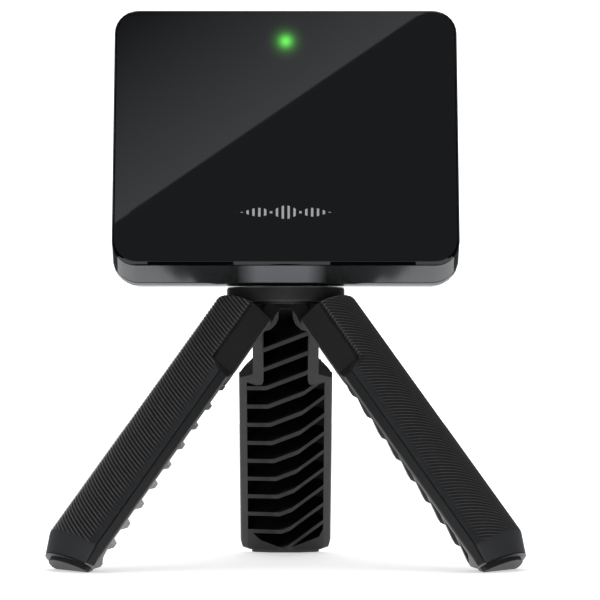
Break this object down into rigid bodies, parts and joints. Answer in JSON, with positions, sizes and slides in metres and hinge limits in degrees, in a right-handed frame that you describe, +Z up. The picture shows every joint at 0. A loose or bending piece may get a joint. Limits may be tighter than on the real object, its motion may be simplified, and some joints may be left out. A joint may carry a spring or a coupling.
{
  "type": "golf launch monitor",
  "caption": "Pocket radar golf launch monitor with a glossy leaning front, screwed onto a folding ribbed tabletop tripod.",
  "frame": {"origin": "middle of the bounding box's base, on the floor under the stand", "axes": "+Z up, -Y the way the monitor's front looks, +X to the right seen from the front"},
  "size_m": [0.12, 0.1079, 0.1435],
  "materials": {
    "lens": "polished black radome",
    "body_plastic": "fine satin grain",
    "stand_plastic": "satin moulded",
    "grip_rubber": "ridged soft touch",
    "foot_rubber": "matt",
    "key_rubber": "matt",
    "seal_rubber": "matt",
    "copper": "plated copper",
    "board": "solder mask",
    "shield": "stamped can",
    "battery_wrap": "shrink film",
    "light": "clear green",
    "clear_plastic": "clear moulded",
    "steel": "plain",
    "brass": "turned"
  },
  "bodies": {
    "stand_head": {"tripod_head": "stand_plastic", "top_pad": "seal_rubber", "mount_stud": "steel", "hinge_pin_1": "steel", "hinge_pin_2": "steel", "hinge_pin_3": "steel"},
    "monitor": {"front_lens": "lens", "front_housing": "body_plastic", "rear_housing": "body_plastic", "housing_seal": "seal_rubber", "radar_antenna": "copper", "radar_board": "board", "radar_shield": "shield", "main_board": "board", "processor_shield": "shield", "battery_pack": "battery_wrap", "battery_lead": "seal_rubber", "board_ribbon": "copper", "status_led": "light", "light_pipe": "clear_plastic", "usb_board": "board", "usb_socket": "steel", "power_switch": "steel", "tripod_insert": "brass", "housing_screw_1": "steel", "housing_screw_2": "steel", "housing_screw_3": "steel", "housing_screw_4": "steel"},
    "power_key": {"power_button": "key_rubber"},
    "usb_flap": {"usb_cap": "key_rubber"},
    "leg_1": {"leg_frame_1": "stand_plastic", "leg_grip_1": "grip_rubber", "foot_pad_1": "foot_rubber"},
    "leg_2": {"leg_frame_2": "stand_plastic", "leg_grip_2": "grip_rubber", "foot_pad_2": "foot_rubber"},
    "leg_3": {"leg_frame_3": "stand_plastic", "leg_grip_3": "grip_rubber", "foot_pad_3": "foot_rubber"}
  },
  "joints": [
    {"name": "leg_1_fold", "type": "hinge", "parent": "stand_head", "child": "leg_1", "pos_m": [0, -0.00906, 0.06742], "axis": [-1, 0, 0], "range_deg": [0, 38.9]},
    {"name": "leg_2_fold", "type": "hinge", "parent": "stand_head", "child": "leg_2", "pos_m": [-0.00346, -0.01506, 0.06742], "axis": [0.5, -0.866, 0], "range_deg": [0, 38.9]},
    {"name": "leg_3_fold", "type": "hinge", "parent": "stand_head", "child": "leg_3", "pos_m": [0.00346, -0.01506, 0.06742], "axis": [0.5, 0.866, 0], "range_deg": [0, 38.9]},
    {"name": "monitor_turn", "type": "hinge", "parent": "stand_head", "child": "monitor", "pos_m": [0, -0.01306, 0.0713], "axis": [0, 0, 1], "range_deg": [0, 360]},
    {"name": "power_press", "type": "slide", "parent": "monitor", "child": "power_key", "axis": [-1, 0, 0], "range_m": [0, 0.0004], "stiffness_N_per_m": 1500, "springref_m": -0.0004},
    {"name": "usb_cap_open", "type": "hinge", "parent": "monitor", "child": "usb_flap", "pos_m": [0.04445, -0.00766, 0.0811], "axis": [0, 1, 0], "range_deg": [0, 100]}
  ]
}
